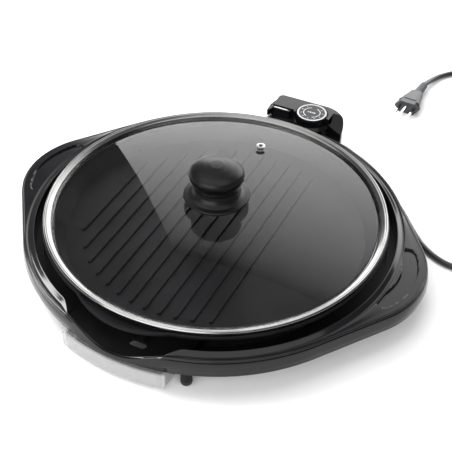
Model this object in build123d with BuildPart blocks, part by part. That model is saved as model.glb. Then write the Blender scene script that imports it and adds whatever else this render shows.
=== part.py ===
from build123d import *
from math import atan2, cos, degrees, radians, sin, sqrt, tan
import os

# Electric griddle: a round non-stick plate with a glass lid, in a black base with two handles.
# The axis of the plate is the line x = 0, y = PLATE_Y.  Every drawing plane that level(),
# upright() or facing_back() gives has its own origin on that axis, so sizes count from it.
# +X runs to the right handle, -Y to the front and +Y to the temperature control.  The drip tray
# and the opening above it are turned 3 degrees to the left of the front.

os.makedirs("parts", exist_ok=True)

# ---------------------------------------------------------------- driving dimensions, in mm
PLATE_Y = -21.5  # puts the origin in the middle of the footprint

# base
BODY_RADIUS = 207.3  # the round part of the rim
HANDLE_RADIUS = 93.1  # the rounded end of a handle
HANDLE_CENTRE = 141.3
SKIRT_Z = 21.8
GROOVE_Z = 42.2
RING_TOP = 45.5
RING_INNER = 195.4
FLARE = 3.5  # the skirt is this much wider at its foot
WALL = 2.5
FLOOR_Z = 12.0  # underside of the bottom cover
FLANGE_Z = 22.0
DISH_RADIUS = 190.0
LEG_RADIUS = 5.9
LEG_CIRCLE = 198.0
LEG_ANGLE = -71.7
PAD_HEIGHT = 7.0
BOSS_PLACES = [(x * 212.0, y * 34.0) for x in (-1, 1) for y in (-1, 1)]
POST_CIRCLE = 150.0

# grease outlet and drip tray
CUT_ANGLE = -93.0
SPOUT_ANGLE = -94.0
CUT_HALF = 60.0
TRAY_TURN = Rot(0, 0, CUT_ANGLE + 90)
BAY_HALF, BAY_BACK, BAY_FRONT = 65.5, -122.0, -178.0
TRAY_HALF, TRAY_BACK, TRAY_RADIUS = 57.5, -128.0, 212.0
TRAY_Z, TRAY_TOP = 1.5, 19.3
TRAY_WALL = 2.1
CHUTE_X = 7.0

# plate
RIM_RADIUS = 186.5
RIM_Z = 53.5
PAN_FLOOR_Z = 29.5
PAN_UNDER_Z = 26.0
PAN_FLOOR_RADIUS = 163.0
RIDGE_PITCH = 17.0
RIDGE_COUNT = 12
RIDGE_CHORD = 146.0

# heater and its inlet
HEAT_Z = 22.4
HEATER_RADIUS = 115.0
HEATER_TUBE = 3.5
PIN_X = 19.0
PIN_RADIUS = 3.0
RUNNING_GAP = 0.08

# lid
LID_RADIUS = 185.0
LID_Z = 53.8
DOME_TOP = 72.0
DOME_SPAN, DOME_EDGE_Z = 179.0, 57.2
GLASS_EDGE, GLASS_BEND = 177.8, 174.5
GLASS_EDGE_Z = 55.0
GLASS = 4.0
VENT_RADIUS = 115.0

# temperature control
DIAL_X, DIAL_Y, DIAL_RADIUS = 22.8, 217.0, 19.5
DIAL_FLOOR, DIAL_TOP = 47.4, 59.0
CONTROL_TOP, CONTROL_SPLIT, CONTROL_FOOT = 58.0, 40.0, 24.0
NOSE_HALF, NOSE_LOW, NOSE_HIGH, NOSE_TIP = 27.0, 17.2, 27.6, 178.0

BAR_X, BAR_Y, BAR_TOP = -16.0, 211.4, 56.5  # the light bar
SCREW_PLACES = [(-20.5, 233), (51, 223), (4, 234)]
SHAFT_RADIUS = 3.0
PROBE_RADIUS = 2.9
BOSS_X = -14.0
RELIEF_COLLAR = 4.5

# cord and plug
CORD = 7.0
REST_Z = CORD / 2 + 0.2
RELIEF_START = Vector(-6, 225.5, 35.5)
RELIEF_TIP = Vector(18, 225.5, 17.5)
COIL_X, COIL_Y, COIL_RADIUS = 238.0, 278.5, 38.0
COIL_RISE = 7.1  # from one turn to the next
COIL_TURNS = 2.04
PLUG_FRONT = Vector(105.3, 336.1, 8.7)
PLUG_HEADING = 86.0  # degrees, from the pins towards the cord
PLUG_BODY, PLUG_RELIEF = 38.0, 30.0
PIN_LENGTH, PIN_TIP, PIN_SPACING, EARTH_STEP = 19.0, 9.0, 9.5, 3.0
PIN_ROOT = 1.5


def level(height):
    """A horizontal plane with its origin on the plate's axis."""
    return Plane((0, PLATE_Y, height))


def upright(turn=0.0):
    """The vertical plane through the plate's axis whose own x axis points outwards at `turn`."""
    out = (cos(radians(turn)), sin(radians(turn)), 0)
    return Plane((0, PLATE_Y, 0), x_dir=out, z_dir=(sin(radians(turn)), -cos(radians(turn)), 0))


def facing_back(distance):
    """A vertical plane across the Y axis, at `distance` behind the plate's axis, looking back."""
    return Plane((0, PLATE_Y + distance, 0), x_dir=(1, 0, 0), z_dir=(0, -1, 0))


PLATE_AXIS = Axis((0, PLATE_Y, 0), (0, 0, 1))


def outline(grow=0.0):
    """The rim's outline: a circle and two handle ends, joined by straight tangents."""
    Circle(BODY_RADIUS + grow)
    with Locations((-HANDLE_CENTRE, 0), (HANDLE_CENTRE, 0)):
        Circle(HANDLE_RADIUS + grow)
    make_hull()


# ================================================================ base
# Outer shell: a hollow rim with a flared skirt, an inner wall and two sunk handle grips.
with BuildPart() as base_shell:
    with BuildSketch(level(SKIRT_Z)):
        outline(FLARE)
    with BuildSketch(level(GROOVE_Z - 0.8)):
        outline(0)
    loft(ruled=True)
    with BuildSketch(level(GROOVE_Z - 0.8)):
        outline(-0.9)
    extrude(amount=0.8)
    with BuildSketch(level(GROOVE_Z)):
        outline(-0.2)
    extrude(amount=RING_TOP - GROOVE_Z)
    fillet(base_shell.faces().sort_by(Axis.Z)[-1].outer_wire().edges(), radius=1.6)
    with BuildSketch(level(SKIRT_Z)):
        outline(FLARE - WALL - 0.5)
        Circle(RING_INNER + WALL, mode=Mode.SUBTRACT)
    with BuildSketch(level(RING_TOP - 3)):
        outline(-WALL - 0.5)
        Circle(RING_INNER + WALL, mode=Mode.SUBTRACT)
    loft(ruled=True, mode=Mode.SUBTRACT)
    with BuildSketch(level(SKIRT_Z)):
        Circle(RING_INNER + WALL)
    extrude(amount=3, mode=Mode.SUBTRACT)
    with BuildSketch(level(SKIRT_Z)):
        Circle(RING_INNER)
    extrude(amount=RING_TOP - SKIRT_Z, mode=Mode.SUBTRACT)
    # the handles' sunk grips
    for side in (0, 180):
        with BuildSketch(level(RING_TOP - 9)):
            with Locations((HANDLE_CENTRE * cos(radians(side)), 0)):
                with BuildLine():
                    around = CenterArc((0, 0), HANDLE_RADIUS - 18, side - 32, 64)
                SlotArc(around, height=19)
        extrude(amount=7)
        with BuildSketch(level(RING_TOP - 7)):
            with Locations((HANDLE_CENTRE * cos(radians(side)), 0)):
                with BuildLine():
                    around = CenterArc((0, 0), HANDLE_RADIUS - 18, side - 32, 64)
                SlotArc(around, height=15)
        extrude(amount=8, mode=Mode.SUBTRACT)
    # screw bosses inside the handles
    with BuildSketch(level(FLANGE_Z + 2.6)):
        with Locations(*BOSS_PLACES):
            Circle(4)
    extrude(until=Until.NEXT, target=base_shell.part)
    with BuildSketch(level(FLANGE_Z + 2.6)):
        with Locations(*BOSS_PLACES):
            Circle(1.65)
    extrude(amount=11, mode=Mode.SUBTRACT)
    # front opening: the inner wall and the rim's top go, and the outer wall dips in a long curve
    with BuildSketch(level(SKIRT_Z)):
        Circle(RING_INNER + WALL + 1.5)
        Circle(RING_INNER - 5, mode=Mode.SUBTRACT)
        with Locations(Rot(0, 0, CUT_ANGLE) * Pos(RING_INNER, 0)):
            Rectangle(60, 2 * CUT_HALF, mode=Mode.INTERSECT)
    extrude(amount=RING_TOP, mode=Mode.SUBTRACT)
    with BuildSketch(upright(CUT_ANGLE + 90)):
        with BuildLine():
            Polyline((-58, RING_TOP + 0.1), (-58, RING_TOP + 9), (66, RING_TOP + 9), (66, RING_TOP + 0.1))
            Spline(
                (66, RING_TOP + 0.1),
                (53, 41.2),
                (42, 37.4),
                (28, 32.4),
                (14, 29.2),
                (0, 28.2),
                (-14, 30.1),
                (-30, 35.8),
                (-45, 42.0),
                (-58, RING_TOP + 0.1),
            )
        make_face()
    extrude(amount=BODY_RADIUS + 20, mode=Mode.SUBTRACT)
    # rear notch for the control's nose, open at the top so that the plate lifts out
    with BuildSketch(level(SKIRT_Z)):
        with Locations((0, 205)):
            Rectangle(2 * NOSE_HALF + 9, 50)
    extrude(amount=RING_TOP, mode=Mode.SUBTRACT)
base_shell.part.label = "base_shell"
export_step(base_shell.part, "parts/base_shell.step")

# Bottom pan: a shallow dish with cooling slots, open at the front for the tray's bay.
with BuildPart() as base_floor:
    with BuildSketch(level(FLOOR_Z)):
        Circle(DISH_RADIUS)
    extrude(amount=FLANGE_Z + WALL - FLOOR_Z)
    with BuildSketch(level(FLOOR_Z + WALL)):
        Circle(DISH_RADIUS - WALL)
    extrude(amount=FLANGE_Z, mode=Mode.SUBTRACT)
    with BuildSketch(level(0)):
        with Locations(TRAY_TURN * Pos(0, BAY_BACK - 60)):
            Rectangle(2 * BAY_HALF, 120)
    extrude(amount=FLANGE_Z + 5, mode=Mode.SUBTRACT)
    with BuildSketch(level(FLOOR_Z + WALL)):
        with Locations((0, 205)):
            Rectangle(2 * NOSE_HALF + 9, 50)
    extrude(amount=30, mode=Mode.SUBTRACT)
    with BuildSketch(level(FLOOR_Z)):
        with PolarLocations(70, 12):
            SlotOverall(34, 5)
    extrude(amount=WALL, mode=Mode.SUBTRACT)
base_floor.part.label = "base_floor"
export_step(base_floor.part, "parts/base_floor.step")

# Flat flange from the bottom pan to the shell.
with BuildPart() as base_flange:
    with BuildSketch(level(FLANGE_Z)):
        outline(-0.8)
        Circle(DISH_RADIUS, mode=Mode.SUBTRACT)
        with Locations(TRAY_TURN * Pos(0, BAY_BACK - 60)):
            Rectangle(2 * BAY_HALF, 120, mode=Mode.SUBTRACT)
        with Locations((0, 205)):
            Rectangle(2 * NOSE_HALF + 9, 50, mode=Mode.SUBTRACT)
        with Locations(*BOSS_PLACES):
            Circle(2.1, mode=Mode.SUBTRACT)
    extrude(amount=WALL)
base_flange.part.label = "base_flange"
export_step(base_flange.part, "parts/base_flange.step")

# Bay for the drip tray: a roof with a slot for the grease, three walls and two rails.
with BuildPart() as tray_bay:
    with BuildSketch(level(FLANGE_Z - 1)):
        Circle(BODY_RADIUS - 0.8)
        with Locations(TRAY_TURN * Pos(0, BAY_BACK - 60)):
            Rectangle(2 * BAY_HALF, 120, mode=Mode.INTERSECT)
    extrude(amount=2.3)
    with BuildSketch(level(FLOOR_Z)):
        with Locations(TRAY_TURN * Pos(0, BAY_BACK - 1.1)):
            Rectangle(2 * BAY_HALF, 2.2)
        with Locations(*[TRAY_TURN * Pos(x * (BAY_HALF - 1.1), (BAY_BACK + BAY_FRONT) / 2) for x in (-1, 1)]):
            Rectangle(2.2, BAY_BACK - BAY_FRONT)
    extrude(amount=FLANGE_Z - FLOOR_Z)
    with BuildSketch(level(TRAY_TOP - 4.3)):
        with Locations(*[TRAY_TURN * Pos(x * (BAY_HALF - 3.5), (BAY_BACK + BAY_FRONT) / 2) for x in (-1, 1)]):
            Rectangle(7, BAY_BACK - BAY_FRONT)
    extrude(amount=2)
    with BuildSketch(level(FLANGE_Z - 3)):
        with Locations((CHUTE_X, -183)):
            SlotOverall(18, 8)
    extrude(amount=8, mode=Mode.SUBTRACT)
tray_bay.part.label = "tray_bay"
export_step(tray_bay.part, "parts/tray_bay.step")

# Four posts that the plate stands on.
with BuildPart() as plate_posts:
    with BuildSketch(level(FLOOR_Z + WALL)):
        with PolarLocations(POST_CIRCLE, 4, start_angle=45):
            Circle(5)
    extrude(amount=PAN_UNDER_Z - 0.3 - FLOOR_Z - WALL)
plate_posts.part.label = "plate_posts"
export_step(plate_posts.part, "parts/plate_posts.step")

# Four legs under the flange, cut flat where one stands against the bay.
with BuildPart() as legs:
    with BuildSketch(level(PAD_HEIGHT)):
        with PolarLocations(LEG_CIRCLE, 4, start_angle=LEG_ANGLE):
            Circle(LEG_RADIUS)
    extrude(amount=FLANGE_Z - PAD_HEIGHT)
    with BuildSketch(level(FLOOR_Z)):
        with Locations(TRAY_TURN * Pos(0, BAY_BACK - 60)):
            Rectangle(2 * BAY_HALF, 120)
    extrude(amount=FLANGE_Z, mode=Mode.SUBTRACT)
legs.part.label = "legs"
export_step(legs.part, "parts/legs.step")

# Heat reflector: a thin plate over the floor, cut clear of the bay, the posts and the slots.
with BuildPart() as heat_reflector:
    with BuildSketch(level(FLOOR_Z + WALL + 0.2)):
        Circle(160)
        with Locations(TRAY_TURN * Pos(0, BAY_BACK - 60)):
            Rectangle(2 * BAY_HALF + 8, 128, mode=Mode.SUBTRACT)
        with PolarLocations(POST_CIRCLE, 4, start_angle=45):
            Circle(6, mode=Mode.SUBTRACT)
    extrude(amount=0.6)
heat_reflector.part.label = "heat_reflector"
export_step(heat_reflector.part, "parts/heat_reflector.step")

# Four domed rubber pads under the legs, with flat soles.
with BuildPart() as foot_pads:
    with BuildSketch(level(PAD_HEIGHT)):
        with PolarLocations(LEG_CIRCLE, 4, start_angle=LEG_ANGLE):
            Circle(LEG_RADIUS)
    extrude(amount=-PAD_HEIGHT)
    fillet(foot_pads.faces().filter_by(Axis.Z).group_by(Axis.Z)[0].edges(), radius=3.9)
foot_pads.part.label = "foot_pads"
export_step(foot_pads.part, "parts/foot_pads.step")

# Four pan-head screws that hold the bottom cover to the shell.
with BuildPart() as base_screws:
    with BuildSketch(level(FLANGE_Z - 1.6)):
        with Locations(*BOSS_PLACES):
            Circle(3.2)
    extrude(amount=1.6)
    fillet(base_screws.faces().filter_by(Axis.Z).group_by(Axis.Z)[0].edges(), radius=0.8)
    with BuildSketch(level(FLANGE_Z)):
        with Locations(*BOSS_PLACES):
            Circle(1.6)
    extrude(amount=12)
    with BuildSketch(level(FLANGE_Z - 1.6)):
        with Locations(*BOSS_PLACES):
            Rectangle(4, 0.9)
            Rectangle(0.9, 4)
    extrude(amount=0.9, mode=Mode.SUBTRACT)
base_screws.part.label = "base_screws"
export_step(base_screws.part, "parts/base_screws.step")

# ================================================================ plate
# The pan: flat floor with ridges on it, sloping wall, rim with a grease spout and a chute below.
with BuildPart() as plate:
    with BuildSketch(level(RIM_Z - 3.5)):
        Circle(RIM_RADIUS)
        with Locations(Rot(0, 0, SPOUT_ANGLE) * Pos(103.2, 0)):
            Circle(92.8)
    extrude(amount=3.5)
    fillet(plate.faces().sort_by(Axis.Z)[-1].outer_wire().edges(), radius=1.5)
    with BuildSketch(upright()):
        with BuildLine():
            Polyline(
                (0, PAN_UNDER_Z),
                (PAN_FLOOR_RADIUS + 2, PAN_UNDER_Z),
                (RIM_RADIUS - 3.5, RIM_Z - 3.5),
                (0, RIM_Z - 3.5),
                close=True,
            )
        make_face()
    revolve(axis=PLATE_AXIS)
    with BuildSketch(upright()) as hollow:
        with BuildLine():
            Polyline(
                (0, PAN_FLOOR_Z),
                (PAN_FLOOR_RADIUS, PAN_FLOOR_Z),
                (174, RIM_Z - 9),
                (177.5, RIM_Z - 8),
                (RIM_RADIUS - 6, RIM_Z),
                (RIM_RADIUS - 6, RIM_Z + 5),
                (0, RIM_Z + 5),
                close=True,
            )
        make_face()
    revolve(axis=PLATE_AXIS, mode=Mode.SUBTRACT)
    # a shallow trough in the spout's lip
    with BuildSketch(level(RIM_Z - 2)):
        with Locations(Rot(0, 0, SPOUT_ANGLE) * Pos(103.2, 0)):
            Circle(90.3)
        Circle(RIM_RADIUS - 2.5, mode=Mode.SUBTRACT)
    extrude(amount=5, mode=Mode.SUBTRACT)
    # ridges, front to back
    for number in range(RIDGE_COUNT):
        ridge_x = (number - RIDGE_COUNT + 4.5) * RIDGE_PITCH
        chord = 2 * sqrt(RIDGE_CHORD**2 - ridge_x**2)
        with BuildSketch(level(PAN_FLOOR_Z - 0.5)):
            with Locations((ridge_x, 0)):
                SlotOverall(chord, 5, rotation=90)
        extrude(amount=3, taper=14)
    # grease hole through the wall, with a chute under it
    with BuildSketch(level(PAN_UNDER_Z + 2)):
        with Locations((CHUTE_X, -174)):
            Rectangle(12, 20)
    extrude(amount=5)
    with BuildSketch(level(PAN_FLOOR_Z + 0.2)):
        with Locations((CHUTE_X, -175)):
            Rectangle(8.6, 30)
    extrude(amount=5, mode=Mode.SUBTRACT)
    # well for the thermostat's probe, and the lugs that the inlet's guard is screwed to
    with BuildSketch(facing_back(132)):
        with Locations((0, HEAT_Z)):
            Circle(5.6)
    extrude(amount=-34)
    with BuildSketch(facing_back(164)):
        with Locations((-9.8, HEAT_Z + 0.6), (9.8, HEAT_Z + 0.6)):
            Rectangle(6, 7)
    extrude(amount=-7.8)
    with BuildSketch(level(PAN_UNDER_Z - 1)):
        with Locations((0, 152)):
            Rectangle(25.6, 28)
    extrude(amount=2)
    with BuildSketch(facing_back(136)):
        with Locations((0, HEAT_Z)):
            Circle(PROBE_RADIUS + RUNNING_GAP)
    extrude(amount=-60, mode=Mode.SUBTRACT)
    with BuildSketch(facing_back(164)):
        with Locations((-9.8, HEAT_Z), (9.8, HEAT_Z)):
            Circle(1.5)
    extrude(amount=-20, mode=Mode.SUBTRACT)
plate.part.label = "plate"
export_step(plate.part, "parts/plate.step")

# Tubular heating element: an open ring under the plate with two straight ends to the rear.
HEATER_GAP = degrees(atan2(PIN_X, sqrt(HEATER_RADIUS**2 - PIN_X**2)))
HEATER_REAR = sqrt(HEATER_RADIUS**2 - PIN_X**2)
with BuildPart() as heating_element:
    with BuildLine(level(HEAT_Z)) as heater_path:
        CenterArc((0, 0), HEATER_RADIUS, 90 + HEATER_GAP, 360 - 2 * HEATER_GAP)
    with BuildSketch(Plane(origin=heater_path.line @ 0, z_dir=heater_path.line % 0)):
        Circle(HEATER_TUBE)
    sweep()
    with BuildSketch(facing_back(HEATER_REAR - 1)):
        with Locations((-PIN_X, HEAT_Z), (PIN_X, HEAT_Z)):
            Circle(HEATER_TUBE)
    extrude(amount=HEATER_REAR - 1 - 166)
heating_element.part.label = "heating_element"
export_step(heating_element.part, "parts/heating_element.step")

# Two round terminal pins on the element's ends.
with BuildPart() as terminal_pins:
    with BuildSketch(facing_back(166)):
        with Locations((-PIN_X, HEAT_Z), (PIN_X, HEAT_Z)):
            Circle(PIN_RADIUS)
    extrude(amount=-36)
    chamfer(terminal_pins.faces().filter_by(Axis.Y).group_by(Axis.Y)[-1].edges(), length=1)
terminal_pins.part.label = "terminal_pins"
export_step(terminal_pins.part, "parts/terminal_pins.step")

# Ceramic bushes that carry the pins through the guard.
with BuildPart() as pin_insulators:
    with BuildSketch(facing_back(167)):
        with Locations((-PIN_X, HEAT_Z), (PIN_X, HEAT_Z)):
            Circle(4.6)
            Circle(PIN_RADIUS + 0.05, mode=Mode.SUBTRACT)
    extrude(amount=-8)
pin_insulators.part.label = "pin_insulators"
export_step(pin_insulators.part, "parts/pin_insulators.step")

# Sheet-metal sleeve round the pins, which guides the control's nose.
GUARD_HALF, GUARD_LOW, GUARD_HIGH, GUARD_SHEET = 30.0, 15.4, 29.4, 1.0
with BuildPart() as inlet_guard:
    with BuildSketch(facing_back(171.9)):
        with Locations((0, (GUARD_LOW + GUARD_HIGH) / 2)):
            RectangleRounded(2 * GUARD_HALF, GUARD_HIGH - GUARD_LOW, 3)
    extrude(amount=-14)
    with BuildSketch(facing_back(171.9 + GUARD_SHEET)):
        with Locations((0, (GUARD_LOW + GUARD_HIGH) / 2)):
            RectangleRounded(
                2 * GUARD_HALF - 2 * GUARD_SHEET, GUARD_HIGH - GUARD_LOW - 2 * GUARD_SHEET, 2
            )
    extrude(amount=-20, mode=Mode.SUBTRACT)
    with BuildSketch(facing_back(171)):
        with Locations((-PIN_X, HEAT_Z), (PIN_X, HEAT_Z)):
            Circle(4.7)
        with Locations((0, HEAT_Z)):
            Circle(4)
        with Locations((-9.8, HEAT_Z), (9.8, HEAT_Z)):
            Circle(1.6)
    extrude(amount=-3, mode=Mode.SUBTRACT)
inlet_guard.part.label = "inlet_guard"
export_step(inlet_guard.part, "parts/inlet_guard.step")

# Two screws that hold the guard to the plate's lugs.
with BuildPart() as guard_screws:
    with BuildSketch(facing_back(162)):
        with Locations((-9.8, HEAT_Z), (9.8, HEAT_Z)):
            Circle(1.4)
    extrude(amount=-11)
    with BuildSketch(facing_back(171.9 + GUARD_SHEET)):
        with Locations((-9.8, HEAT_Z), (9.8, HEAT_Z)):
            Circle(2.8)
    extrude(amount=-1.4)
guard_screws.part.label = "guard_screws"
export_step(guard_screws.part, "parts/guard_screws.step")

# ================================================================ lid
def dome_z(radius, depth=0.0):
    """Height of the glass at `radius`, on a sphere through the top and the edge."""
    fall = DOME_TOP - DOME_EDGE_Z
    ball = (DOME_SPAN**2 + fall**2) / (2 * fall)
    return DOME_TOP - ball + sqrt((ball - depth) ** 2 - radius**2)


# Tempered glass dome with a bent edge and holes for the knob's screw and the steam vent.
with BuildPart() as lid_glass:
    with BuildSketch(upright()):
        with BuildLine():
            ThreePointArc(
                (0, dome_z(0)),
                (GLASS_BEND / 2, dome_z(GLASS_BEND / 2)),
                (GLASS_BEND, dome_z(GLASS_BEND)),
            )
            Polyline(
                (GLASS_BEND, dome_z(GLASS_BEND)),
                (GLASS_EDGE, GLASS_EDGE_Z),
                (GLASS_EDGE, GLASS_EDGE_Z - GLASS),
                (GLASS_BEND - 0.8, dome_z(GLASS_BEND - 0.8, GLASS)),
            )
            ThreePointArc(
                (GLASS_BEND - 0.8, dome_z(GLASS_BEND - 0.8, GLASS)),
                (GLASS_BEND / 2, dome_z(GLASS_BEND / 2, GLASS)),
                (0, dome_z(0, GLASS)),
            )
            Line((0, dome_z(0, GLASS)), (0, dome_z(0)))
        make_face()
    revolve(axis=PLATE_AXIS)
    with BuildSketch(level(LID_Z)):
        Circle(3)
        with Locations((0, VENT_RADIUS)):
            Circle(4.1)
    extrude(amount=40, mode=Mode.SUBTRACT)
lid_glass.part.label = "lid_glass"
export_step(lid_glass.part, "parts/lid_glass.step")

# Rolled steel rim round the glass.
with BuildPart() as lid_rim:
    with BuildSketch(upright()) as rim_profile:
        with BuildLine():
            Polyline(
                (174.6, GLASS_EDGE_Z - 2.7),
                (174.6, GLASS_EDGE_Z - 3.6),
                (GLASS_EDGE + 0.6, GLASS_EDGE_Z - 5),
                (GLASS_EDGE + 1.8, LID_Z),
                (LID_RADIUS - 0.8, LID_Z),
                (LID_RADIUS, LID_Z + 1),
                (LID_RADIUS, LID_Z + 3.8),
                (LID_RADIUS - 1.4, LID_Z + 5.2),
                (LID_RADIUS - 4, LID_Z + 4.6),
                (GLASS_EDGE - 0.8, GLASS_EDGE_Z + 1.4),
                (GLASS_EDGE - 0.8, GLASS_EDGE_Z + 0.8),
                (GLASS_EDGE + 0.1, GLASS_EDGE_Z + 0.06),
                (GLASS_EDGE + 0.1, GLASS_EDGE_Z - GLASS - 0.15),
                close=True,
            )
        make_face()
    revolve(axis=PLATE_AXIS)
lid_rim.part.label = "lid_rim"
export_step(lid_rim.part, "parts/lid_rim.step")

# Knob: a domed cap over a banded neck with a wide, dished flange.
with BuildPart() as knob_flange:
    with BuildSketch(upright()):
        with BuildLine():
            Polyline(
                (2.2, DOME_TOP + 0.1),
                (31, DOME_TOP + 0.1),
                (35.2, DOME_TOP + 3.4),
                (35.6, DOME_TOP + 5),
            )
            Line((35.6, DOME_TOP + 5), (34.4, DOME_TOP + 6))
            Spline((34.4, DOME_TOP + 6), (22.6, DOME_TOP + 15), tangents=((-1, 0.2), (-0.5, 1)))
            Polyline(
                (22.6, DOME_TOP + 15),
                (22.6, DOME_TOP + 19),
                (21.8, DOME_TOP + 19.5),
                (21.8, DOME_TOP + 24),
                (2.2, DOME_TOP + 24),
                (2.2, DOME_TOP + 0.1),
            )
        make_face()
    revolve(axis=PLATE_AXIS)
knob_flange.part.label = "knob_flange"
export_step(knob_flange.part, "parts/knob_flange.step")

with BuildPart() as knob_cap:
    with BuildSketch(upright()):
        with BuildLine():
            Polyline((0, DOME_TOP + 24), (23.6, DOME_TOP + 24), (27, DOME_TOP + 25.8))
            Spline(
                (27, DOME_TOP + 25.8),
                (29.6, DOME_TOP + 31.5),
                (27.6, DOME_TOP + 35.8),
                (20, DOME_TOP + 40.6),
                (0, DOME_TOP + 44.5),
                tangents=((1, 1), (-1, 0)),
            )
            Line((0, DOME_TOP + 44.5), (0, DOME_TOP + 24))
        make_face()
    revolve(axis=PLATE_AXIS)
    with BuildSketch(level(DOME_TOP + 24)):
        Circle(2)
    extrude(amount=8, mode=Mode.SUBTRACT)
knob_cap.part.label = "knob_cap"
export_step(knob_cap.part, "parts/knob_cap.step")

with BuildPart() as knob_screw:
    with BuildSketch(level(DOME_TOP - 9.4)):
        Circle(4.5)
    extrude(amount=2.4)
    fillet(knob_screw.faces().sort_by(Axis.Z)[0].edges(), radius=1.2)
    with BuildSketch(level(DOME_TOP - 7)):
        Circle(1.9)
    extrude(amount=38)
    with BuildSketch(level(DOME_TOP - 9.4)):
        Rectangle(5.5, 1)
        Rectangle(1, 5.5)
    extrude(amount=1.2, mode=Mode.SUBTRACT)
knob_screw.part.label = "knob_screw"
export_step(knob_screw.part, "parts/knob_screw.step")

with BuildPart() as knob_gasket:
    with BuildSketch(level(DOME_TOP - 7)):
        Circle(11)
        Circle(2.2, mode=Mode.SUBTRACT)
    extrude(amount=2.9)
knob_gasket.part.label = "knob_gasket"
export_step(knob_gasket.part, "parts/knob_gasket.step")

# Steel eyelet that lets steam out.
VENT_Z = dome_z(VENT_RADIUS)
with BuildPart() as steam_vent:
    with BuildSketch(upright(90)):
        with BuildLine():
            Polyline(
                (VENT_RADIUS + 2.4, VENT_Z + 1.3),
                (VENT_RADIUS + 5.4, VENT_Z + 1.0),
                (VENT_RADIUS + 5.4, VENT_Z + 0.6),
                (VENT_RADIUS + 4, VENT_Z + 0.6),
                (VENT_RADIUS + 4, VENT_Z - GLASS - 0.7),
                (VENT_RADIUS + 4.8, VENT_Z - GLASS - 1.0),
                (VENT_RADIUS + 2.4, VENT_Z - GLASS - 1.6),
                close=True,
            )
        make_face()
    revolve(axis=Axis((0, PLATE_Y + VENT_RADIUS, 0), (0, 0, 1)))
steam_vent.part.label = "steam_vent"
export_step(steam_vent.part, "parts/steam_vent.step")

# ================================================================ temperature control
def control_outline(sketch, inset=0.0):
    """The housing seen from above: square at the left end, a rounded lobe at the right."""
    Polygon(
        (-28, 211.5),
        (40, 211.5),
        (44, 214),
        (64, 205.8),
        (66, 207),
        (66, 240.5),
        (-22.5, 240.5),
        (-28, 236),
        align=None,
    )
    fillet(sketch.vertices().sort_by(lambda v: v.X + v.Y)[-1], radius=33)
    if inset:
        offset(amount=-inset, mode=Mode.REPLACE, kind=Kind.INTERSECTION)


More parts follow.
